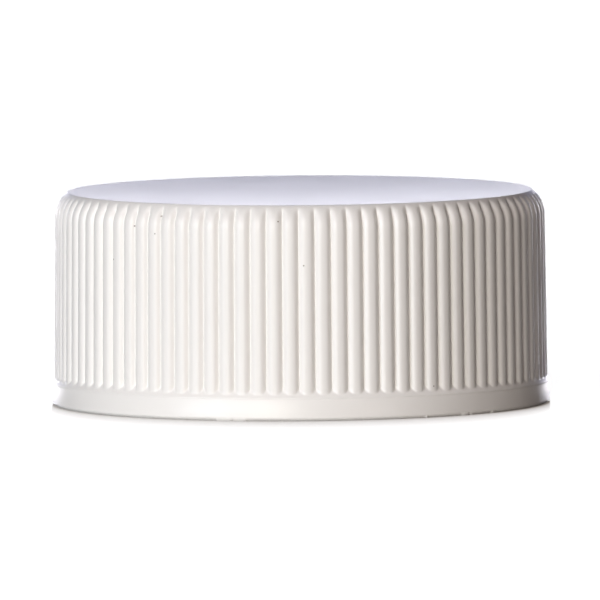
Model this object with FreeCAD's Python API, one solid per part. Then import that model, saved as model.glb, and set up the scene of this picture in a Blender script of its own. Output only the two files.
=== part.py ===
import FreeCAD, Part
import math
import os

# Continuous thread cap for a 24 mm bottle neck, standing on its open rim.
# Millimetres, +Z towards the closed end, origin in the middle of the rim's plane.

# Outside of the cap, around the inner wall that clears the thread of the bottle neck
wall_inner_diameter = 24.3
rib_wall = 1.13
band_step = 0.12
overall_height = 11.45
band_height = 1.21
band_bevel_deg = 35.0
rim_chamfer = 0.15
skirt_draft_deg = 0.6
shoulder_radius = 1.6
shoulder_turn_deg = 55.0
top_land_width = 0.15
top_sink_depth = 0.15
top_sink_slope_width = 3.0

# Ribs of the grip, with rounded flanks that meet in a narrow valley
rib_count = 94
rib_depth = 0.25
rib_land = 0.13
rib_entry_deg = 20.0
rib_lip = 0.015
valley_bend_turn_deg = 12.0
valley_end_turn_deg = 50.0

# Inside of the cap
mouth_chamfer = 0.2
panel_thickness = 1.1
seat_step_width = 0.4
seat_step_height = 0.4
seat_lead_below_liner = 0.35

# Liner disc pressed into its seat against the panel
liner_thickness = 1.0
liner_clearance = 0.05

# Inner thread, a right-hand helix of 8 turns to the inch
thread_depth = 1.1
thread_pitch = 3.175
thread_turns = 1.25
thread_crest_width = 0.45
thread_load_flank_deg = 10.0
thread_lead_flank_deg = 45.0
thread_start_height = 2.4
thread_runout_deg = 35.0
thread_end_margin_deg = 3.0
thread_allowance = 0.2
thread_crest_facets = 12

# Within this distance two edges or faces count as being in the same place
same_place = 0.0001

# Radii, heights and angles that follow from the sizes above
UP = FreeCAD.Vector(0, 0, 1)
ORIGIN = FreeCAD.Vector(0, 0, 0)
wall_inner_radius = wall_inner_diameter / 2
crest_radius = wall_inner_radius + rib_wall
band_radius = crest_radius + band_step
seat_radius = wall_inner_radius - seat_step_width
liner_radius = seat_radius - liner_clearance
thread_crest_radius = wall_inner_radius - thread_depth
draft = math.radians(skirt_draft_deg)
shoulder_turn = math.radians(shoulder_turn_deg)
half_pitch = math.pi / rib_count
band_bevel = math.radians(band_bevel_deg)
rib_pitch_deg = 360.0 / rib_count
panel_underside = overall_height - panel_thickness
liner_underside = panel_underside - liner_thickness
bevel_crest_height = band_height + (band_radius - crest_radius) / math.tan(band_bevel)


def point(radius, height):
    """A point of a turned outline, in the plane through the axis and +X."""
    return FreeCAD.Vector(radius, 0, height)


def chain(points):
    """Straight edges from each point to the next."""
    return [Part.makeLine(a, b) for a, b in zip(points, points[1:])]


def arc(centre, radius, start, end):
    """Arc of a turned outline between two angles, measured from the horizontal."""
    ends = [centre + point(math.cos(a), math.sin(a)) * radius for a in (start, (start + end) / 2, end)]
    return Part.Arc(*ends).toShape()


def crest_at(height):
    """Radius of the rib crests, which the draft narrows towards the top."""
    return crest_radius - (height - bevel_crest_height) * math.tan(draft)


# The shoulder's arc runs on from the drafted skirt and ends at the flat top
shoulder_centre_height = overall_height - shoulder_radius * math.sin(shoulder_turn)
shoulder_start_height = shoulder_centre_height + shoulder_radius * math.sin(draft)
shoulder_centre = point(
    crest_at(shoulder_start_height) - shoulder_radius * math.cos(draft), shoulder_centre_height
)


def on_shoulder(turn):
    """Point of the shoulder's arc where it has turned in by this angle."""
    return shoulder_centre + point(math.cos(turn), math.sin(turn)) * shoulder_radius


top_radius = on_shoulder(shoulder_turn).x
inner_cut = point(wall_inner_radius / 2, band_height)


def turned(edges, degrees=360.0):
    """Solid of revolution about the cap's axis from a closed outline, centred on the +X side."""
    solid = Part.Face(Part.Wire(edges)).revolve(ORIGIN, UP, degrees)
    solid.rotate(ORIGIN, UP, -degrees / 2)
    return solid


def skirt_sector():
    """One pitch of skirt and shoulder before the valleys are cut, flat across like the land of a rib."""
    foot = point(crest_at(band_height), band_height)
    shoulder = arc(shoulder_centre, shoulder_radius, draft, shoulder_turn)
    edges = [Part.makeLine(foot, shoulder.Vertexes[0].Point), shoulder]
    edges += chain([shoulder.Vertexes[-1].Point, point(inner_cut.x, overall_height), inner_cut, foot])
    across = FreeCAD.Vector(0, band_radius * math.tan(half_pitch), 0)
    outline = Part.Face(Part.Wire(edges))
    outline.translate(-across)
    wedge = Part.makeCylinder(band_radius, overall_height, ORIGIN, UP, rib_pitch_deg)
    return outline.extrude(across * 2).common(wedge.rotated(ORIGIN, UP, -rib_pitch_deg / 2))


def bevel_sector():
    """One pitch of the bevel that rises inwards from the plain band, under the ribs."""
    bevel_inner = crest_radius - rib_depth * 2
    bevel_top = band_height + (band_radius - bevel_inner) / math.tan(band_bevel)
    outline = [
        inner_cut,
        point(band_radius, band_height),
        point(bevel_inner, bevel_top),
        point(inner_cut.x, bevel_top),
        inner_cut,
    ]
    return turned(chain(outline), rib_pitch_deg)


def flute_section():
    """Wire of the groove between two ribs, square to the path that its valley follows."""
    half_mouth = crest_at(shoulder_start_height) * math.sin(half_pitch) - rib_land / 2
    chord_angle = math.atan2(rib_depth, half_mouth)
    entry = math.radians(rib_entry_deg)
    half_turn = chord_angle - entry
    flank_radius = math.hypot(rib_depth, half_mouth) / (2 * math.sin(half_turn))
    bulge = flank_radius * (1 - math.cos(half_turn))
    lip_width = rib_lip / math.tan(entry)
    outer = rib_depth + shoulder_radius
    edges = []
    for side in (-1, 1):
        valley = FreeCAD.Vector(0, 0, 0)
        mouth = FreeCAD.Vector(rib_depth, side * half_mouth, 0)
        outwards = FreeCAD.Vector(math.cos(chord_angle), -side * math.sin(chord_angle), 0)
        middle = (valley + mouth) * 0.5 + outwards * bulge
        edges.append(Part.Arc(valley, middle, mouth).toShape())
        edges += chain(
            [
                mouth,
                FreeCAD.Vector(rib_depth + rib_lip, side * (half_mouth + lip_width), 0),
                FreeCAD.Vector(outer, side * (half_mouth + lip_width), 0),
                FreeCAD.Vector(outer, 0, 0),
            ]
        )
    return Part.Wire(Part.__sortEdges__(edges))


def flute():
    """One groove of the grip: up the skirt, then leaning in until it runs out on the shoulder."""
    bend_height = on_shoulder(math.radians(valley_bend_turn_deg)).z
    foot = point(crest_at(0) - rib_depth, 0)
    bend = point(crest_at(bend_height) - rib_depth, bend_height)
    lean = on_shoulder(math.radians(valley_end_turn_deg)) - bend
    path = Part.Wire(chain([foot, bend, bend + lean * 2]))
    section = flute_section()
    section.rotate(ORIGIN, FreeCAD.Vector(0, 1, 0), -skirt_draft_deg)
    section.translate(foot)
    mitred = 1
    return path.makePipeShell([section], True, False, mitred)


def level_edges(shape, height):
    """Edges of a shape that lie level at this height."""
    return [
        edge
        for edge in shape.Edges
        if abs(edge.BoundBox.ZMin - height) < same_place and abs(edge.BoundBox.ZMax - height) < same_place
    ]


def shows(face):
    """Whether a face of a sector is on the outside, and not one of the cuts between sectors or behind them."""
    middle = face.CenterOfMass
    off_the_cut = half_pitch - abs(math.atan2(middle.y, middle.x))
    return face.BoundBox.XMin > inner_cut.x and off_the_cut * middle.x > same_place


def ribbed_grip():
    """Solid grip above the band: one pitch is copied round and its faces are sewn shut with two discs."""
    grooves = [flute().rotated(ORIGIN, UP, turn) for turn in (-rib_pitch_deg / 2, rib_pitch_deg / 2)]
    sector = skirt_sector().cut(grooves).fuse(bevel_sector())
    outside = [face for face in sector.Faces if shows(face)]
    turns = [index * rib_pitch_deg for index in range(rib_count)]
    side = Part.makeCompound([face.rotated(ORIGIN, UP, turn) for turn in turns for face in outside])
    side.sewShape()
    rings = [level_edges(side, height) for height in (band_height, overall_height)]
    discs = [Part.Face(Part.Wire(Part.__sortEdges__(ring))) for ring in rings]
    closed = Part.makeCompound(side.Faces + discs)
    closed.sewShape()
    return Part.Solid(closed.Shells[0])


def plain_band():
    """Solid disc under the grip, whose wall is the plain band with a small chamfer round the rim."""
    outline = [
        point(0, 0),
        point(band_radius - rim_chamfer, 0),
        point(band_radius, rim_chamfer),
        point(band_radius, band_height),
        point(0, band_height),
        point(0, 0),
    ]
    return turned(chain(outline))


def top_hollow():
    """Shallow pan that the cooling panel sinks by, inside a narrow flat edge."""
    reach = top_radius - top_land_width
    floor = overall_height - top_sink_depth
    above = overall_height + top_sink_depth
    outline = [
        point(0, floor),
        point(reach - top_sink_slope_width, floor),
        point(reach, overall_height),
        point(reach, above),
        point(0, above),
        point(0, floor),
    ]
    return turned(chain(outline))


def cavity():
    """Plain inside space: mouth, threaded wall and the narrower seat that grips the liner."""
    below = -mouth_chamfer
    seat_foot = liner_underside - seat_lead_below_liner
    outline = [
        point(0, below),
        point(wall_inner_radius + mouth_chamfer - below, below),
        point(wall_inner_radius, mouth_chamfer),
        point(wall_inner_radius, seat_foot - seat_step_height),
        point(seat_radius, seat_foot),
        point(seat_radius, panel_underside),
        point(0, panel_underside),
        point(0, below),
    ]
    return turned(chain(outline))


def thread_profile():
    """Closed outline of the ridge at its start, with a steep load flank above and a sloping one below."""
    load = math.tan(math.radians(thread_load_flank_deg))
    lead = math.tan(math.radians(thread_lead_flank_deg))
    past_crest = -thread_allowance
    past_wall = thread_depth + thread_allowance
    top = thread_start_height + thread_crest_width / 2
    foot = thread_start_height - thread_crest_width / 2
    corners = [
        point(thread_crest_radius + past_crest, foot - past_crest * lead),
        point(thread_crest_radius + past_wall, foot - past_wall * lead),
        point(thread_crest_radius + past_wall, top + past_wall * load),
        point(thread_crest_radius + past_crest, top + past_crest * load),
    ]
    return Part.Wire(chain(corners + corners[:1]))


def thread_runout(at_angle, towards, height):
    """Eccentric cylinder that lets one end of the ridge fade into the wall."""
    runout = math.radians(thread_runout_deg)
    offset = thread_depth / math.sin(runout)
    direction = math.radians(at_angle) + towards * (runout - math.pi / 2)
    centre = FreeCAD.Vector(math.cos(direction), math.sin(direction), 0) * offset
    low = UP * (height - thread_pitch / 2)
    eccentric = Part.makeCylinder(math.hypot(thread_crest_radius, offset), thread_pitch, centre + low, UP)
    spread = thread_runout_deg + thread_end_margin_deg * 2
    first = at_angle - thread_end_margin_deg if towards > 0 else at_angle + thread_end_margin_deg - spread
    window = Part.makeCylinder(band_radius, thread_pitch, low, UP, spread).rotated(ORIGIN, UP, first)
    return eccentric.common(window)


def thread_ridge():
    """The moulded thread: a helical ridge whose crest is cut to a true cylinder and whose ends fade out."""
    rise = thread_pitch * thread_turns
    helix = Part.makeHelix(thread_pitch, rise, wall_inner_radius)
    helix.translate(UP * thread_start_height)
    ridge = Part.Wire(helix.Edges).makePipeShell([thread_profile()], True, True)
    crest_step = 360.0 / thread_crest_facets
    crest_sector = Part.makeCylinder(thread_crest_radius, overall_height, ORIGIN, UP, crest_step)
    cutters = [crest_sector.rotated(ORIGIN, UP, index * crest_step) for index in range(thread_crest_facets)]
    cutters.append(thread_runout(0, 1, thread_start_height))
    cutters.append(thread_runout(360 * thread_turns, -1, thread_start_height + rise))
    return ridge.cut(cutters)


def cap_shell():
    """The one moulded piece: grip and band less the sunk top and the threaded core."""
    core = cavity().cut(thread_ridge())
    return ribbed_grip().fuse(plain_band()).cut([core, top_hollow()])


def foam_liner():
    """Die-cut sealing disc, face to face with the panel."""
    return Part.makeCylinder(liner_radius, liner_thickness, UP * liner_underside, UP)


os.makedirs("parts", exist_ok=True)
for name, shape in (("cap_shell", cap_shell()), ("foam_liner", foam_liner())):
    shape.exportStep(f"parts/{name}.step")
    print(name, "valid", shape.isValid(), "solids", len(shape.Solids), "volume", round(shape.Volume, 2))
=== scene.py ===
# %% [markdown]
# # A ribbed screw cap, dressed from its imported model
#
# The cap is a small white lid of about 27 mm, moulded in one piece from polypropylene. Ninety-four
# narrow ribs run up its skirt, a plain band goes round the open rim, and the flat top is sunk a
# little. Inside are one continuous thread and a foam liner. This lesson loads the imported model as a
# fixed frame, grows the finished surface around it with Geometry Nodes, and lights it softly.

# %% Load the frame
import math

import bmesh
import bpy
from mathutils import Matrix, Vector


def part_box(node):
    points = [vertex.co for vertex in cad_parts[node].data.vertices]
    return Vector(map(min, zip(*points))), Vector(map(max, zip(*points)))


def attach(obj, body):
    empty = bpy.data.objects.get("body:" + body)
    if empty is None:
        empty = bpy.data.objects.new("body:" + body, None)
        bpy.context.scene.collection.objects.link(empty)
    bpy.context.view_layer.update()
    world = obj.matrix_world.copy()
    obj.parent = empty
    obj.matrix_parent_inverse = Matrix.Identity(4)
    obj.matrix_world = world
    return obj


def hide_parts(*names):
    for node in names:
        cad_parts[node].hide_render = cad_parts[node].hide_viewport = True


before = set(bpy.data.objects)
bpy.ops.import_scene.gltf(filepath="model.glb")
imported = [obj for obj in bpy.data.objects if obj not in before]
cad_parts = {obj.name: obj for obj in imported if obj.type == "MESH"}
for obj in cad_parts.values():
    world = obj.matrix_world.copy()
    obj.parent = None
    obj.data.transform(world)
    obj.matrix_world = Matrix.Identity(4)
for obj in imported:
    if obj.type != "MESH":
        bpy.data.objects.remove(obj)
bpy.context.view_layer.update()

MM = 0.001

# %% [markdown]
# ## Sizes
#
# The outer radius, the height and the liner's place are read from the frame, so they can't drift
# away from it. The other sizes are those of the moulding, in millimetres, and each is named once.

# %% Sizes from the frame
shell_low, shell_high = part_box("cap_shell")
liner_low, liner_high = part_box("foam_liner")
band_radius = shell_high.x
cap_height = shell_high.z
liner_radius = liner_high.x
print("band radius", round(band_radius / MM, 3), "height", round((cap_height - shell_low.z) / MM, 3))

# %% Sizes of the moulding
band_height = 1.21 * MM
band_step = 0.12 * MM
ledge_slope = math.tan(math.radians(35.0))
skirt_draft = math.radians(0.6)
shoulder_radius = 1.6 * MM
shoulder_turn = math.radians(55.0)
top_edge_round = 0.04 * MM
rim_chamfer = 0.15 * MM
top_land = 0.15 * MM
top_sink = 0.15 * MM
wall_inner_radius = 12.15 * MM
seat_radius = 11.75 * MM
panel_underside = liner_high.z
seat_foot = liner_low.z - 0.35 * MM
seat_step_height = 0.4 * MM
mouth_chamfer = 0.2 * MM

rib_count = 94
rib_depth = 0.21 * MM
crest_foot = band_height + band_step / ledge_slope
crest_radius = band_radius - band_step
print("ribs:", rib_count, "rib crest radius in mm:", round(crest_radius / MM, 2))


def crest_at(height):
    """Radius of the rib crests, which the mould's draft narrows towards the top."""
    return crest_radius - (height - crest_foot) * math.tan(skirt_draft)


# %% [markdown]
# ## The outline of the wall
#
# A moulded cap is a turned part with ribs pressed into it. So the first thing to draw is the
# section of its wall: from the middle of the top, out over the shoulder, down the skirt, round the
# rim and up the inside to the middle of the panel's underside. Each point of the outline carries
# numbers that say how far the ribs reach there: `groove` is the share of the rib's depth, `lift` is
# how far the point climbs the ledge where a valley meets it, and the last two say how far out and
# down the point goes where a tab of flash hangs at the rim.

# %% A point of the outline
outline = []


def add_point(radius, height, groove=0.0, press=0.0, lift=0.0, slope=0.0, tab_out=0.0, tab_down=0.0):
    """Adds a point; press is the angle, above level, that the ribs are pressed in along."""
    outline.append(
        {
            "from_axis": radius,
            "height": height,
            "groove": groove,
            "press_out": math.cos(press),
            "press_up": math.sin(press),
            "lift": lift,
            "slope": slope,
            "tab_out": tab_out,
            "tab_down": tab_down,
        }
    )


def smooth_step(value):
    """0 below 0, 1 above 1 and a soft change between."""
    t = min(max(value, 0.0), 1.0)
    return t * t * (3 - 2 * t)


# %% [markdown]
# The shoulder's arc leaves the drafted skirt without a corner, and the ribs fade out on it before
# the top edge. The panel sinks as the moulding cools, so the top is a very shallow dish.

# %% Top panel and shoulder
edge_centre = Vector((0.0, cap_height - top_edge_round))
shoulder_centre_height = edge_centre.y - (shoulder_radius - top_edge_round) * math.sin(shoulder_turn)
shoulder_start = shoulder_centre_height + shoulder_radius * math.sin(skirt_draft)
shoulder_centre_radius = crest_at(shoulder_start) - shoulder_radius * math.cos(skirt_draft)
edge_centre.x = shoulder_centre_radius + (shoulder_radius - top_edge_round) * math.cos(shoulder_turn)
ribs_fade_from = math.radians(28.0)
ribs_gone_at = math.radians(52.0)
panel_rows = 10
edge_rows = 4
shoulder_rows = 15

dish_radius = edge_centre.x - top_land
for row in range(panel_rows):
    share = row / panel_rows
    add_point(dish_radius * share, cap_height - top_sink * (1 - share**2))
add_point(dish_radius, cap_height)
for row in range(edge_rows):
    angle = math.pi / 2 - (math.pi / 2 - shoulder_turn) * row / edge_rows
    add_point(
        edge_centre.x + top_edge_round * math.cos(angle), edge_centre.y + top_edge_round * math.sin(angle)
    )
for row in range(shoulder_rows + 1):
    angle = shoulder_turn - (shoulder_turn - skirt_draft) * row / shoulder_rows
    fade = smooth_step((ribs_gone_at - angle) / (ribs_gone_at - ribs_fade_from))
    add_point(
        shoulder_centre_radius + shoulder_radius * math.cos(angle),
        shoulder_centre_height + shoulder_radius * math.sin(angle),
        groove=fade,
        press=angle,
    )
print("points over the top and shoulder:", len(outline))

# %% [markdown]
# Down the skirt the ribs have their full depth. They end on a sloping ledge, and because a valley
# lies further in than a crest, it meets that slope higher up. Both sides of that edge carry `lift`,
# so the edge follows the slope, whatever the depth of the groove is at that place. No point sits
# right on that edge, which leaves it a little round, as in the mould.

# %% Skirt, ledge and band
skirt_shares = (0.2, 0.4, 0.6, 0.8, 0.93, 0.975, 0.993)
ledge_shares = (0.96, 0.6, 0.3, 0.06)
for share in skirt_shares:
    height = shoulder_start + (crest_foot - shoulder_start) * share
    add_point(crest_at(height), height, groove=1.0, lift=share, slope=math.tan(skirt_draft))
for share in ledge_shares:
    height = band_height + (crest_foot - band_height) * share
    radius = band_radius - (height - band_height) * ledge_slope
    add_point(radius, height, lift=share, slope=ledge_slope)
print("points down to the ledge:", len(outline))

# %% [markdown]
# Two faint lines run round the band: a parting line just under its upper edge, where two halves of
# the mould met, and a bead of flash just above the rim. The band lies back by the height of the bead.

# %% Parting line and bead of the band
band_edge_round = 0.03 * MM
parting_depth = 0.018 * MM
parting_height = 0.045 * MM
bead_height = 0.012 * MM
band_face = band_radius - bead_height
add_point(band_radius - band_edge_round * 0.3, band_height - band_edge_round * 0.1)
add_point(band_radius, band_height - band_edge_round)
add_point(band_face - parting_depth, band_height - band_edge_round - parting_height)
add_point(band_face, band_height - band_edge_round - parting_height * 1.6)
add_point(band_face, rim_chamfer * 2.0)
add_point(band_radius, rim_chamfer * 1.5)
add_point(band_radius, rim_chamfer * 1.15)

# %% [markdown]
# The rim stands on the floor with a small chamfer, and here and there a tab of flash hangs from it.
# Inside, the mouth opens with a chamfer, the wall runs straight up, and a step leads to the seat
# that holds the liner against the panel.

# %% Rim
def add_rim_point(inwards, up, tab_inwards):
    """A point of the rim's edge, by shares of the chamfer; a tab brings it down to the floor."""
    add_point(
        band_radius - rim_chamfer * inwards,
        rim_chamfer * up,
        tab_out=rim_chamfer * (inwards - tab_inwards),
        tab_down=rim_chamfer * up,
    )


add_point(band_radius - rim_chamfer * 0.06, rim_chamfer * 0.85)
add_rim_point(0.5, 0.42, 0.08)
add_rim_point(0.9, 0.05, 0.12)
add_point(band_radius - rim_chamfer * 1.2, 0.0)

# %% Inside
add_point(wall_inner_radius + mouth_chamfer * 1.1, 0.0)
add_point(wall_inner_radius + mouth_chamfer * 0.9, mouth_chamfer * 0.1)
add_point(wall_inner_radius + mouth_chamfer * 0.1, mouth_chamfer * 0.9)
add_point(wall_inner_radius, mouth_chamfer * 1.2)
add_point(wall_inner_radius, seat_foot - seat_step_height)
add_point(seat_radius + (wall_inner_radius - seat_radius) * 0.1, seat_foot - seat_step_height * 0.1)
add_point(seat_radius, seat_foot + seat_step_height * 0.1)
add_point(seat_radius, panel_underside)
add_point(seat_radius - seat_step_height, panel_underside)
add_point(0.0, panel_underside)
print("points of the whole outline:", len(outline))

# %% Outline as a mesh line that carries its numbers
outline_mesh = bpy.data.meshes.new("wall_outline")
outline_mesh.from_pydata(
    [(p["from_axis"], 0.0, p["height"]) for p in outline],
    [(i, i + 1) for i in range(len(outline) - 1)],
    [],
)
for name in outline[0]:
    values = outline_mesh.attributes.new(name, "FLOAT", "POINT")
    values.data.foreach_set("value", [p[name] for p in outline])
print("numbers on each point:", ", ".join(outline[0]))

# %% [markdown]
# ## Small helpers for node trees
#
# A tree of nodes, for geometry or for a material, is easier to read when each sum is one short
# call. `calc` and its relatives below take sockets or plain numbers and hand back sockets. The tree
# helpers give a modifier its inputs by the sockets' identifiers, and turn its result into a plain
# mesh, because only plain meshes can be exported.

# %% Helpers for nodes
def link(tree, source, socket):
    """Sets a socket from another socket or from a plain value."""
    if isinstance(source, bpy.types.NodeSocket):
        tree.links.new(source, socket)
    else:
        socket.default_value = source


def calc(tree, operation, *values):
    """One Math node on sockets or numbers; returns its result."""
    node = tree.nodes.new("ShaderNodeMath")
    node.operation = operation
    for value, socket in zip(values, node.inputs):
        link(tree, value, socket)
    return node.outputs[0]


def add_node(tree, kind, settings=None, **sockets):
    """One node of a kind; settings are its properties, and sockets are its inputs by name."""
    node = tree.nodes.new(kind)
    for name, value in (settings or {}).items():
        setattr(node, name, value)
    for name, value in sockets.items():
        link(tree, value, node.inputs[name.replace("_", " ")])
    return node


def number_on_points(tree, name):
    """The named number that each point carries."""
    return add_node(
        tree, "GeometryNodeInputNamedAttribute", {"data_type": "FLOAT"}, Name=name
    ).outputs["Attribute"]


# %% Helpers for geometry trees
def new_tree(name, inputs):
    """A tree with a geometry input, these inputs (name, socket kind, value) and a geometry output."""
    tree = bpy.data.node_groups.new(name, "GeometryNodeTree")
    tree.interface.new_socket("Geometry", in_out="INPUT", socket_type="NodeSocketGeometry")
    for label, kind, _ in inputs:
        tree.interface.new_socket(label, in_out="INPUT", socket_type=kind)
    tree.interface.new_socket("Geometry", in_out="OUTPUT", socket_type="NodeSocketGeometry")
    return tree, tree.nodes.new("NodeGroupInput").outputs, tree.nodes.new("NodeGroupOutput").inputs


def apply_tree(piece, tree, inputs):
    """Runs a tree on an object with these values, and keeps the result as its plain mesh."""
    modifier = piece.modifiers.new(tree.name, "NODES")
    modifier.node_group = tree
    ids = {s.name: s.identifier for s in tree.interface.items_tree if s.in_out == "INPUT"}
    for label, _, value in inputs:
        modifier[ids[label]] = value
    bpy.context.scene.collection.objects.link(piece)
    finished = piece.evaluated_get(bpy.context.evaluated_depsgraph_get())
    grown = bpy.data.meshes.new_from_object(finished)
    piece.modifiers.clear()
    piece.data = grown


# %% Helper that closes and measures a mesh
same_spot = 1e-8


def tidy_mesh(piece):
    """Merges what lies on one spot, points all faces outwards and says what the mesh is like."""
    mesh = bmesh.new()
    mesh.from_mesh(piece.data)
    bmesh.ops.remove_doubles(mesh, verts=mesh.verts, dist=same_spot)
    bmesh.ops.dissolve_degenerate(mesh, edges=mesh.edges, dist=same_spot / 10)
    bmesh.ops.recalc_face_normals(mesh, faces=mesh.faces)
    open_edges = sum(1 for edge in mesh.edges if not edge.is_manifold)
    if mesh.calc_volume(signed=True) < 0:
        bmesh.ops.reverse_faces(mesh, faces=mesh.faces)
    volume = mesh.calc_volume(signed=True)
    mesh.to_mesh(piece.data)
    mesh.free()
    triangles = sum(len(face.vertices) - 2 for face in piece.data.polygons)
    print(piece.name, "triangles", triangles, "open edges", open_edges, "cm3", round(volume * 1e6, 4))


# %% [markdown]
# ## Plastics and foam
#
# White polypropylene is never quite white: it is a warm ivory where light bounces inside the
# grooves. The finish from the mould is satin, with a faint ripple, so a noise texture moves its
# colour and its roughness a little and a finer one bends its surface. A few dark specks of burnt
# resin are small and have their own places, so each is a distance to a point. The specks, the tabs
# of flash and the lamps are all placed by their angle from the camera's line, which is named here.

# %% Helpers for materials
def new_material(name):
    """An empty material, with its nodes and its Principled shader."""
    material = bpy.data.materials.new(name)
    material.use_nodes = True
    return material, material.node_tree, material.node_tree.nodes["Principled BSDF"]


def blend_colours(tree, share, first, second):
    """Colour between two others, by a share from 0 to 1."""
    node = tree.nodes.new("ShaderNodeMix")
    node.data_type = "RGBA"
    link(tree, share, node.inputs[0])
    link(tree, first, node.inputs[6])
    link(tree, second, node.inputs[7])
    return node.outputs[2]


# %% Camera's line and the white polypropylene
camera_azimuth = math.radians(-89.575)
resin_white = (0.87, 0.845, 0.815, 1.0)
resin_shade = (0.86, 0.832, 0.8, 1.0)
mottle_scale = 420.0
mottle_detail = 3.0
satin_roughness = (0.3, 0.36)
ripple_scale = 2600.0
ripple_detail = 2.0
ripple_height = 0.01 * MM
ripple_strength = 0.15
plastic_ior = 1.49

# %% Specks of burnt resin
speck_brown = (0.22, 0.17, 0.13, 1.0)
speck_flatness = 0.96
speck_edge = 0.5
far_from_specks = 10.0

# Each speck has its degrees to the right of the camera's line, its height and its size in mm.
specks = [
    (-35.0, 10.8, 0.075),
    (-42.7, 10.22, 0.05),
    (-36.0, 9.87, 0.05),
    (-49.2, 8.38, 0.055),
    (-5.1, 10.63, 0.05),
    (3.5, 10.76, 0.05),
    (0.8, 8.28, 0.055),
    (64.0, 8.81, 0.06),
    (52.4, 8.54, 0.05),
    (32.2, 1.66, 0.055),
]


def specks_near(tree, place):
    """Distance to the nearest speck over its size, where a speck reaches as deep as the ribs do."""
    nearest = far_from_specks
    for degrees_right, height, size in specks:
        turn = camera_azimuth + math.radians(degrees_right)
        outward = Vector((math.cos(turn), math.sin(turn), 0.0))
        middle = outward * (crest_at(height * MM) - rib_depth / 2) + Vector((0.0, 0.0, height * MM))
        offset = add_node(tree, "ShaderNodeVectorMath", {"operation": "SUBTRACT"})
        link(tree, place, offset.inputs[0])
        offset.inputs[1].default_value = middle
        depth = add_node(tree, "ShaderNodeVectorMath", {"operation": "DOT_PRODUCT"})
        link(tree, offset.outputs[0], depth.inputs[0])
        depth.inputs[1].default_value = outward
        squared = add_node(tree, "ShaderNodeVectorMath", {"operation": "DOT_PRODUCT"})
        link(tree, offset.outputs[0], squared.inputs[0])
        link(tree, offset.outputs[0], squared.inputs[1])
        inner = calc(tree, "MULTIPLY", calc(tree, "POWER", depth.outputs["Value"], 2.0), speck_flatness)
        across = calc(tree, "SQRT", calc(tree, "SUBTRACT", squared.outputs["Value"], inner))
        nearest = calc(tree, "MINIMUM", nearest, calc(tree, "DIVIDE", across, size * MM))
    return nearest


# %% Material of the moulding
def polypropylene():
    """Satin warm white, faintly mottled and rippled, with a few dark specks in it."""
    material, tree, shader = new_material("white_polypropylene")
    place = add_node(tree, "ShaderNodeTexCoord").outputs["Object"]
    mottle = add_node(tree, "ShaderNodeTexNoise", Vector=place, Scale=mottle_scale, Detail=mottle_detail)
    plain = blend_colours(tree, mottle.outputs["Fac"], resin_shade, resin_white)
    within_speck = calc(tree, "SUBTRACT", 1.0, specks_near(tree, place))
    strength = calc(tree, "DIVIDE", within_speck, speck_edge)
    strength.node.use_clamp = True
    tree.links.new(blend_colours(tree, strength, plain, speck_brown), shader.inputs["Base Color"])
    ripple = add_node(tree, "ShaderNodeTexNoise", Vector=place, Scale=ripple_scale, Detail=ripple_detail)
    bump = add_node(
        tree,
        "ShaderNodeBump",
        Height=ripple.outputs["Fac"],
        Strength=ripple_strength,
        Distance=ripple_height,
    )
    tree.links.new(bump.outputs["Normal"], shader.inputs["Normal"])
    gloss = add_node(tree, "ShaderNodeMapRange", Value=mottle.outputs["Fac"])
    gloss.inputs["To Min"].default_value, gloss.inputs["To Max"].default_value = satin_roughness
    tree.links.new(gloss.outputs["Result"], shader.inputs["Roughness"])
    shader.inputs["IOR"].default_value = plastic_ior
    return material


cap_plastic = polypropylene()
print("specks in", cap_plastic.name, len(specks))

# %% [markdown]
# The liner is foam with closed cells too small to model. A Voronoi texture has the same look of
# small round cells, so it gives both the colour and the dimples.

# %% Foam polyethylene of the liner
foam_white = (0.84, 0.84, 0.82, 1.0)
foam_cell = (0.72, 0.72, 0.69, 1.0)
foam_scale = 3800.0
dimple_depth = 0.04 * MM
dimple_strength = 0.6
foam_roughness = 0.8


def foam():
    """Soft matt foam whose small closed cells show as dimples."""
    material, tree, shader = new_material("foam_polyethylene")
    place = add_node(tree, "ShaderNodeTexCoord").outputs["Object"]
    cells = add_node(tree, "ShaderNodeTexVoronoi", Vector=place, Scale=foam_scale)
    colour = blend_colours(tree, cells.outputs["Distance"], foam_cell, foam_white)
    tree.links.new(colour, shader.inputs["Base Color"])
    bump = add_node(
        tree,
        "ShaderNodeBump",
        Height=cells.outputs["Distance"],
        Strength=dimple_strength,
        Distance=dimple_depth,
    )
    tree.links.new(bump.outputs["Normal"], shader.inputs["Normal"])
    shader.inputs["Roughness"].default_value = foam_roughness
    return material


liner_foam = foam()
print("foam:", liner_foam.name)

# %% [markdown]
# ## The cap as one turned and ribbed mesh
#
# The outline is swept round a circle, and then each point is put in its place by a formula. The
# formula knows how far round the point is, and from that how deep the rib's valley is there. A
# power curve gives the flat crest and the narrow valley of the real ribs. The columns crowd towards
# the valleys, where the surface turns most. Rules like this are what Geometry Nodes are good at:
# the count, depth and sharpness of the ribs stay inputs that can be changed.

# %% Inputs of the ribbed wall
# Each tab of flash has its degrees to the right of the camera's line and its half width in degrees.
rim_tabs = [(-18.4, 1.9), (-14.5, 1.5), (29.8, 0.5), (41.0, 1.2), (43.2, 0.4), (50.3, 0.6)]
tab_edge = math.radians(0.35)
columns_per_rib = 14
crest_flatness = 3.2
valley_round = 0.07
rib_inputs = [
    ("Rib Count", "NodeSocketInt", rib_count),
    ("Columns per Rib", "NodeSocketInt", columns_per_rib),
    ("Rib Depth", "NodeSocketFloat", rib_depth),
    ("Crest Flatness", "NodeSocketFloat", crest_flatness),
    ("Valley Round", "NodeSocketFloat", valley_round),
    ("Ledge Slope", "NodeSocketFloat", ledge_slope - math.tan(skirt_draft)),
    ("Material", "NodeSocketMaterial", cap_plastic),
]


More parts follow.
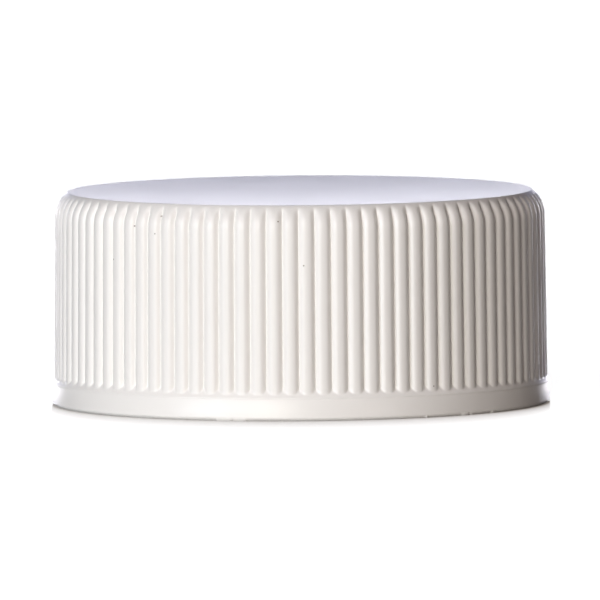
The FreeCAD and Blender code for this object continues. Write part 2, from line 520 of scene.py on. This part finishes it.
# %% Shape of one valley, and where the tabs are
def beyond(tree, distance, rounding):
    """A distance that grows from 0 without a corner: sqrt(distance^2 + rounding^2) - rounding."""
    square = calc(tree, "ADD", calc(tree, "POWER", distance, 2.0), calc(tree, "POWER", rounding, 2.0))
    return calc(tree, "SUBTRACT", calc(tree, "SQRT", square), rounding)


def valley_shape(tree, across, flatness, rounding):
    """Share of the full depth at a place across a rib, where 0 is its crest and 1 its valley."""
    from_valley = calc(tree, "SUBTRACT", 1.0, calc(tree, "ABSOLUTE", across))
    share = calc(tree, "DIVIDE", beyond(tree, from_valley, rounding), beyond(tree, 1.0, rounding))
    return calc(tree, "POWER", calc(tree, "SUBTRACT", 1.0, share), flatness)


def tab_share(tree, turn):
    """1 within the small flash tabs of the rim and 0 elsewhere."""
    total = 0.0
    for degrees_right, half_width in rim_tabs:
        middle = camera_azimuth + math.radians(degrees_right)
        away = calc(tree, "ABSOLUTE", calc(tree, "SUBTRACT", turn, middle % math.tau))
        inside = calc(tree, "DIVIDE", calc(tree, "SUBTRACT", math.radians(half_width), away), tab_edge)
        inside.node.use_clamp = True
        total = calc(tree, "MAXIMUM", total, inside)
    return total


# %% Helpers that end a tree
def put_in_place(tree, geometry, radius, turn, height):
    """Sets each point's place from its radius, its turn round the axis and its height."""
    place = add_node(
        tree,
        "ShaderNodeCombineXYZ",
        X=calc(tree, "MULTIPLY", radius, calc(tree, "COSINE", turn)),
        Y=calc(tree, "MULTIPLY", radius, calc(tree, "SINE", turn)),
        Z=height,
    )
    return add_node(
        tree, "GeometryNodeSetPosition", Geometry=geometry, Position=place.outputs[0]
    ).outputs["Geometry"]


def finish_tree(tree, geometry, material, output):
    """Merges points on one spot, makes instances real, shades smooth and sets the material."""
    merged = add_node(tree, "GeometryNodeMergeByDistance", Geometry=geometry, Distance=same_spot)
    real = add_node(tree, "GeometryNodeRealizeInstances", Geometry=merged.outputs[0])
    smooth = add_node(tree, "GeometryNodeSetShadeSmooth", Geometry=real.outputs[0])
    painted = add_node(
        tree, "GeometryNodeSetMaterial", Geometry=smooth.outputs[0], Material=material
    )
    tree.links.new(painted.outputs[0], output[0])


def marked_sweep(tree, path, label, value, section, **caps):
    """Sweeps a mesh line along a path whose points carry a labelled number."""
    marked = add_node(
        tree,
        "GeometryNodeStoreNamedAttribute",
        {"data_type": "FLOAT"},
        Geometry=path.outputs[0],
        Name=label,
        Value=value,
    )
    profile = add_node(tree, "GeometryNodeMeshToCurve", Mesh=section)
    swept = add_node(
        tree,
        "GeometryNodeCurveToMesh",
        Curve=marked.outputs[0],
        Profile_Curve=profile.outputs[0],
        **caps,
    )
    return swept.outputs[0], number_on_points(tree, label)


# %% Tree for the turned and ribbed wall
def rib_turn(tree, turn, count):
    """How far across its rib a point lies, from -1 to 1, and its turn, crowded to the valleys."""
    ribs_passed = calc(tree, "MULTIPLY", turn, calc(tree, "DIVIDE", count, math.tau))
    within = calc(tree, "FRACT", calc(tree, "ADD", ribs_passed, 0.5))
    even_across = calc(tree, "SUBTRACT", calc(tree, "MULTIPLY", within, 2.0), 1.0)
    across = calc(tree, "SINE", calc(tree, "MULTIPLY", even_across, math.pi / 2))
    moved = calc(tree, "SUBTRACT", across, even_across)
    half_pitch = calc(tree, "DIVIDE", math.pi, count)
    return across, calc(tree, "ADD", turn, calc(tree, "MULTIPLY", moved, half_pitch))


def ribbed_wall_tree():
    """Sweeps the wall's outline round the axis and presses the ribs into it."""
    tree, given, output = new_tree("turned and ribbed wall", rib_inputs)
    columns = calc(tree, "MULTIPLY", given["Rib Count"], given["Columns per Rib"])
    circle = add_node(tree, "GeometryNodeCurvePrimitiveCircle", Resolution=columns)
    index = add_node(tree, "GeometryNodeInputIndex").outputs[0]
    even_turn = calc(tree, "DIVIDE", calc(tree, "MULTIPLY", index, math.tau), columns)
    swept, turn = marked_sweep(tree, circle, "even_turn", even_turn, given["Geometry"])
    across, crowded_turn = rib_turn(tree, turn, given["Rib Count"])
    valley = valley_shape(tree, across, given["Crest Flatness"], given["Valley Round"])
    depth = calc(tree, "MULTIPLY", valley, given["Rib Depth"])
    rise = calc(tree, "DIVIDE", depth, given["Ledge Slope"])
    climb = calc(tree, "MULTIPLY", number_on_points(tree, "lift"), rise)
    pressed = calc(tree, "MULTIPLY", depth, number_on_points(tree, "groove"))
    pressed_in = calc(tree, "MULTIPLY", pressed, number_on_points(tree, "press_out"))
    pressed_down = calc(tree, "MULTIPLY", pressed, number_on_points(tree, "press_up"))
    drawn_in = calc(tree, "MULTIPLY", climb, number_on_points(tree, "slope"))
    tab = tab_share(tree, turn)
    tab_out = calc(tree, "MULTIPLY", number_on_points(tree, "tab_out"), tab)
    tab_down = calc(tree, "MULTIPLY", number_on_points(tree, "tab_down"), tab)
    inwards = calc(tree, "ADD", pressed_in, drawn_in)
    wall_radius = calc(tree, "SUBTRACT", number_on_points(tree, "from_axis"), inwards)
    radius = calc(tree, "ADD", wall_radius, tab_out)
    climbed = calc(tree, "ADD", number_on_points(tree, "height"), climb)
    height = calc(tree, "SUBTRACT", climbed, calc(tree, "ADD", pressed_down, tab_down))
    placed = put_in_place(tree, swept, radius, crowded_turn, height)
    finish_tree(tree, placed, given["Material"], output)
    return tree


# %% Grow the cap
cap_wall = bpy.data.objects.new("cap_moulding", outline_mesh)
apply_tree(cap_wall, ribbed_wall_tree(), rib_inputs)
tidy_mesh(cap_wall)

# %% [markdown]
# ## The inner thread
#
# The thread is a ridge that winds one and a quarter turns up the inner wall, right-handed, eight
# turns to the inch. Its upper flank is steep, to pull on the neck's thread, and its lower one slopes
# so that the mould can let go. A second tree sweeps that section along a helix, and both ends fade
# into the wall. Its foot is buried a little in the wall, so no light gets between.

# %% Sizes of the thread
thread_depth = 1.1 * MM
thread_pitch = 3.175 * MM
thread_turns = 1.25
thread_start = 2.4 * MM
thread_crest_half = 0.225 * MM
thread_bury = 0.15 * MM
load_flank = math.tan(math.radians(10.0))
lead_flank = math.tan(math.radians(45.0))
thread_corner = 0.1 * MM
thread_fade = math.radians(35.0)
thread_steps = 360
print("thread crest radius in mm:", round((wall_inner_radius - thread_depth) / MM, 2))

# %% Section of the thread
thread_section = [
    (-thread_bury, -thread_crest_half - (thread_depth + thread_bury) * lead_flank),
    (thread_depth - thread_corner, -thread_crest_half - thread_corner * lead_flank),
    (thread_depth - thread_corner * 0.2, -thread_crest_half + thread_corner * 0.3),
    (thread_depth, 0.0),
    (thread_depth - thread_corner * 0.2, thread_crest_half - thread_corner * 0.4),
    (thread_depth - thread_corner, thread_crest_half + thread_corner * load_flank * 0.5),
    (-thread_bury, thread_crest_half + (thread_depth + thread_bury) * load_flank),
]

# %% Tree for the thread
thread_inputs = [
    ("Wall Radius", "NodeSocketFloat", wall_inner_radius),
    ("Pitch", "NodeSocketFloat", thread_pitch),
    ("Turns", "NodeSocketFloat", thread_turns),
    ("Start Height", "NodeSocketFloat", thread_start),
    ("Fade Angle", "NodeSocketFloat", thread_fade),
    ("Steps", "NodeSocketInt", thread_steps),
    ("Material", "NodeSocketMaterial", cap_plastic),
]


def thread_tree():
    """Sweeps the ridge's section up a helix and lets both ends fade into the wall."""
    tree, given, output = new_tree("inner thread", thread_inputs)
    line = add_node(tree, "GeometryNodeCurvePrimitiveLine")
    path = add_node(tree, "GeometryNodeResampleCurve", Curve=line.outputs[0], Count=given["Steps"])
    index = add_node(tree, "GeometryNodeInputIndex").outputs[0]
    whole_turn = calc(tree, "MULTIPLY", given["Turns"], math.tau)
    share = calc(tree, "DIVIDE", index, calc(tree, "SUBTRACT", given["Steps"], 1.0))
    wound = calc(tree, "MULTIPLY", share, whole_turn)
    swept, turn = marked_sweep(tree, path, "turn", wound, given["Geometry"], Fill_Caps=True)
    to_end = calc(tree, "MINIMUM", turn, calc(tree, "SUBTRACT", whole_turn, turn))
    fade = calc(tree, "DIVIDE", to_end, given["Fade Angle"])
    fade.node.use_clamp = True
    soft_fade = calc(tree, "SINE", calc(tree, "MULTIPLY", fade, math.pi / 2))
    above_foot = calc(tree, "ADD", number_on_points(tree, "reach"), thread_bury)
    inwards = calc(tree, "SUBTRACT", calc(tree, "MULTIPLY", above_foot, soft_fade), thread_bury)
    radius = calc(tree, "SUBTRACT", given["Wall Radius"], inwards)
    climb = calc(tree, "DIVIDE", calc(tree, "MULTIPLY", turn, given["Pitch"]), math.tau)
    middle = calc(tree, "ADD", climb, given["Start Height"])
    height = calc(tree, "ADD", middle, number_on_points(tree, "rise"))
    placed = put_in_place(tree, swept, radius, turn, height)
    finish_tree(tree, placed, given["Material"], output)
    return tree


# %% Grow the thread
section_mesh = bpy.data.meshes.new("thread_section")
corner_count = len(thread_section)
section_mesh.from_pydata(
    [(reach, rise, 0.0) for reach, rise in thread_section],
    [(i, (i + 1) % corner_count) for i in range(corner_count)],
    [],
)
for name, column in (("reach", 0), ("rise", 1)):
    values = section_mesh.attributes.new(name, "FLOAT", "POINT")
    values.data.foreach_set("value", [corner[column] for corner in thread_section])
inner_thread = bpy.data.objects.new("inner_thread", section_mesh)
apply_tree(inner_thread, thread_tree(), thread_inputs)
tidy_mesh(inner_thread)

# %% [markdown]
# ## The liner
#
# The liner is a disc punched from foam sheet, so its edge is square but soft, and the seat squeezes
# it a little smaller at the bottom corner. It is turned from a short outline by hand, because
# nothing on it repeats.

# %% Turn the liner
liner_corner = 0.12 * MM
liner_columns = 192
liner_outline = [
    (0.0, liner_low.z),
    (liner_radius * 0.6, liner_low.z),
    (liner_radius - liner_corner * 1.5, liner_low.z),
    (liner_radius - liner_corner * 0.3, liner_low.z + liner_corner * 0.3),
    (liner_radius, liner_low.z + liner_corner * 1.5),
    (liner_radius, liner_high.z - liner_corner * 0.5),
    (liner_radius - liner_corner * 0.5, liner_high.z),
    (0.0, liner_high.z),
]


def turned_piece(name, points, columns, material):
    """A closed turned body from an outline that starts and ends on the axis."""
    mesh = bmesh.new()
    rings = []
    for radius, height in points:
        turns = [math.tau * column / columns for column in range(columns)] if radius > 0 else [0.0]
        rings.append([mesh.verts.new((math.cos(t) * radius, math.sin(t) * radius, height)) for t in turns])
    for lower, upper in zip(rings, rings[1:]):
        for column in range(columns):
            corners = [
                lower[column % len(lower)],
                lower[(column + 1) % len(lower)],
                upper[(column + 1) % len(upper)],
                upper[column % len(upper)],
            ]
            mesh.faces.new(list(dict.fromkeys(corners))).smooth = True
    piece = bpy.data.objects.new(name, bpy.data.meshes.new(name))
    mesh.to_mesh(piece.data)
    mesh.free()
    piece.data.materials.append(material)
    bpy.context.scene.collection.objects.link(piece)
    return piece


liner_disc = turned_piece("foam_disc", liner_outline, liner_columns, liner_foam)
tidy_mesh(liner_disc)

# %% [markdown]
# ## What each piece stands for
#
# All three pieces ride on the only body. The moulding and its thread are one piece of plastic, so
# both stand for the same node.

# %% Tie the pieces to the frame
for piece, node, slot in (
    (cap_wall, "cap_shell", "white_polypropylene"),
    (inner_thread, "cap_shell", "white_polypropylene"),
    (liner_disc, "foam_liner", "foam_polyethylene"),
):
    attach(piece, "root")
    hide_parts(node)
    print(piece.name, "stands for", node)

# %% [markdown]
# ## Camera
#
# The photograph was taken from a little above the cap with a long lens, so its ellipses are thin
# and its verticals straight. The distance and the height of the camera follow from how open the
# two ellipses are. Places in the photo were read at the middles of its picture elements, so the
# view is shifted by half an element.

# %% Camera
camera_distance = 1100 * MM
camera_height = 83.4 * MM
camera_roll = math.radians(0.413)
aim_height = 5.52 * MM
picture_elements = 600
element_size = 0.05385 * MM
picture_width = picture_elements * element_size
sensor_width = 36.0
nearest_seen = 0.01
farthest_seen = 10.0
camera = bpy.data.objects.new("camera", bpy.data.cameras.new("camera"))
camera.location = (
    math.cos(camera_azimuth) * camera_distance,
    math.sin(camera_azimuth) * camera_distance,
    camera_height,
)
aim = Vector((0.0, 0.0, aim_height)) - camera.location
level_view = aim.to_track_quat("-Z", "Y").to_matrix()
camera.rotation_euler = (level_view @ Matrix.Rotation(-camera_roll, 3, "Z")).to_euler()
camera.data.sensor_width = sensor_width
camera.data.lens = sensor_width * aim.length / picture_width
camera.data.shift_x = -0.5 / picture_elements
camera.data.clip_start = nearest_seen
camera.data.clip_end = farthest_seen
bpy.context.scene.collection.objects.link(camera)
bpy.context.scene.camera = camera
print("lens in mm:", round(camera.data.lens, 1))

# %% [markdown]
# ## Floor, backdrop and light
#
# In the photo the floor and the background are one near-white sheet, and the cap throws hardly any
# shadow on it. So the floor glows, but only for the camera, and a painted shadow dims that glow by a
# formula over a few millimetres just in front of the rim. For all other rays the floor is a pale
# surface with a sheen. It mirrors the lamps behind the cap up onto both ends of the band, and this
# draws the pale line there.

# %% Floor
floor_pale = (0.5, 0.5, 0.5, 1.0)
floor_roughness = 0.2
floor_sheen = 0.5
floor_glow = (0.97, 0.97, 0.97, 1.0)
# Colour of the painted shadow on the floor just in front of the rim.
painted_contact_shadow = (0.16, 0.14, 0.12, 1.0)
contact_reach = 7.5 * MM


def outside_painted_shadow(tree):
    """Share of the glow that the painted contact shadow leaves: 0 where the cap's near rim stands on the
    floor, rising to 1 in front of it, and 1 elsewhere.
    """
    place = add_node(tree, "ShaderNodeTexCoord").outputs["Object"]
    parts = add_node(tree, "ShaderNodeSeparateXYZ", Vector=place).outputs
    square = calc(tree, "SUBTRACT", band_radius**2, calc(tree, "POWER", parts["X"], 2.0))
    rim_in_front = calc(tree, "SQRT", calc(tree, "MAXIMUM", square, 0.0))
    away = calc(tree, "SUBTRACT", calc(tree, "MULTIPLY", parts["Y"], -1.0), rim_in_front)
    rise = calc(tree, "POWER", calc(tree, "MAXIMUM", calc(tree, "DIVIDE", away, contact_reach), 0.0), 0.5)
    beside = calc(tree, "GREATER_THAN", 0.0, square)
    behind = calc(tree, "GREATER_THAN", parts["Y"], 0.0)
    elsewhere = calc(tree, "MAXIMUM", beside, behind)
    share = calc(tree, "MAXIMUM", rise, elsewhere)
    share.node.use_clamp = True
    return share


def floor_material():
    """Pale floor with a sheen, whose glow for camera rays dims under a painted contact shadow in front of
    the cap.
    """
    material, tree, shader = new_material("pale_floor")
    shader.inputs["Base Color"].default_value = floor_pale
    shader.inputs["Roughness"].default_value = floor_roughness
    seen = add_node(tree, "ShaderNodeLightPath").outputs["Is Camera Ray"]
    sheen = calc(tree, "MULTIPLY", calc(tree, "SUBTRACT", 1.0, seen), floor_sheen)
    tree.links.new(sheen, shader.inputs["Specular IOR Level"])
    # The glow's colour carries the painted contact shadow in front of the near rim.
    colour = blend_colours(tree, outside_painted_shadow(tree), painted_contact_shadow, floor_glow)
    glow = add_node(tree, "ShaderNodeEmission", Color=colour, Strength=seen)
    both = tree.nodes.new("ShaderNodeAddShader")
    tree.links.new(shader.outputs[0], both.inputs[0])
    tree.links.new(glow.outputs[0], both.inputs[1])
    tree.links.new(both.outputs[0], tree.nodes["Material Output"].inputs["Surface"])
    return material


floor_half = 3.0
floor = bpy.data.objects.new("floor", bpy.data.meshes.new("floor"))
floor.data.from_pydata(
    [(x * floor_half, y * floor_half, 0.0) for x, y in ((-1, -1), (1, -1), (1, 1), (-1, 1))],
    [],
    [(0, 1, 2, 3)],
)
floor.data.materials.append(floor_material())
bpy.context.scene.collection.objects.link(floor)
print("floor", 2 * floor_half, "m wide, with a shade", round(contact_reach / MM, 1), "mm deep")

# %% [markdown]
# The world is white for camera rays only. It is the background, and gives no light.

# %% World
world = bpy.data.worlds.new("studio")
world.use_nodes = True
bpy.context.scene.world = world
sky = world.node_tree
rays = add_node(sky, "ShaderNodeLightPath")
sky.nodes["Background"].inputs["Color"].default_value = (1.0, 1.0, 1.0, 1.0)
sky.links.new(rays.outputs["Is Camera Ray"], sky.nodes["Background"].inputs["Strength"])
print("world:", world.name)

# %% [markdown]
# Three soft boxes left of the camera make the key: a warm one nearest the camera, a cool one
# further left, and one above them. A weak warm fill stands on the right. A strip and a card stand
# low behind the cap, for the sheen of the floor. Their strengths and colours come from a fit: each
# lamp was rendered alone, and the sum that came nearest to the photo was solved for.

# %% Lamps
lamp_distance = 0.6


def soft_box(name, degrees_right, elevation, size, watts, colour):
    """A rectangular area lamp that looks at the cap from an angle to the right of the camera."""
    turn = camera_azimuth + math.radians(degrees_right)
    up = math.radians(elevation)
    lamp = bpy.data.objects.new(name, bpy.data.lights.new(name, "AREA"))
    lamp.location = lamp_distance * Vector(
        (math.cos(turn) * math.cos(up), math.sin(turn) * math.cos(up), math.sin(up))
    )
    lamp.rotation_euler = (-lamp.location).to_track_quat("-Z", "Y").to_euler()
    lamp.data.shape = "RECTANGLE"
    lamp.data.size, lamp.data.size_y = size
    lamp.data.energy = watts
    lamp.data.color = colour
    bpy.context.scene.collection.objects.link(lamp)


soft_box("key_right", -16.0, 12.0, (0.22, 0.25), 1.38, (1.0, 0.99, 0.88))
soft_box("key_left", -44.0, 12.0, (0.24, 0.25), 1.36, (0.81, 0.92, 1.0))
soft_box("key_above", -28.0, 34.0, (0.42, 0.3), 1.03, (1.0, 0.87, 0.96))
soft_box("warm_fill", 35.0, 12.0, (0.25, 0.25), 0.26, (1.0, 0.8, 0.71))
soft_box("back_strip", 181.0, 3.0, (0.67, 0.06), 0.98, (1.0, 0.97, 1.0))
soft_box("back_card", 181.0, 9.0, (0.67, 0.12), 0.31, (0.57, 0.65, 1.0))
print("lamps:", len(bpy.data.lights))

# %% [markdown]
# The standard view shows the light as it is, with no film curve over it.

# %% Colour view
bpy.context.scene.view_settings.view_transform = "Standard"
print("view:", bpy.context.scene.view_settings.view_transform)
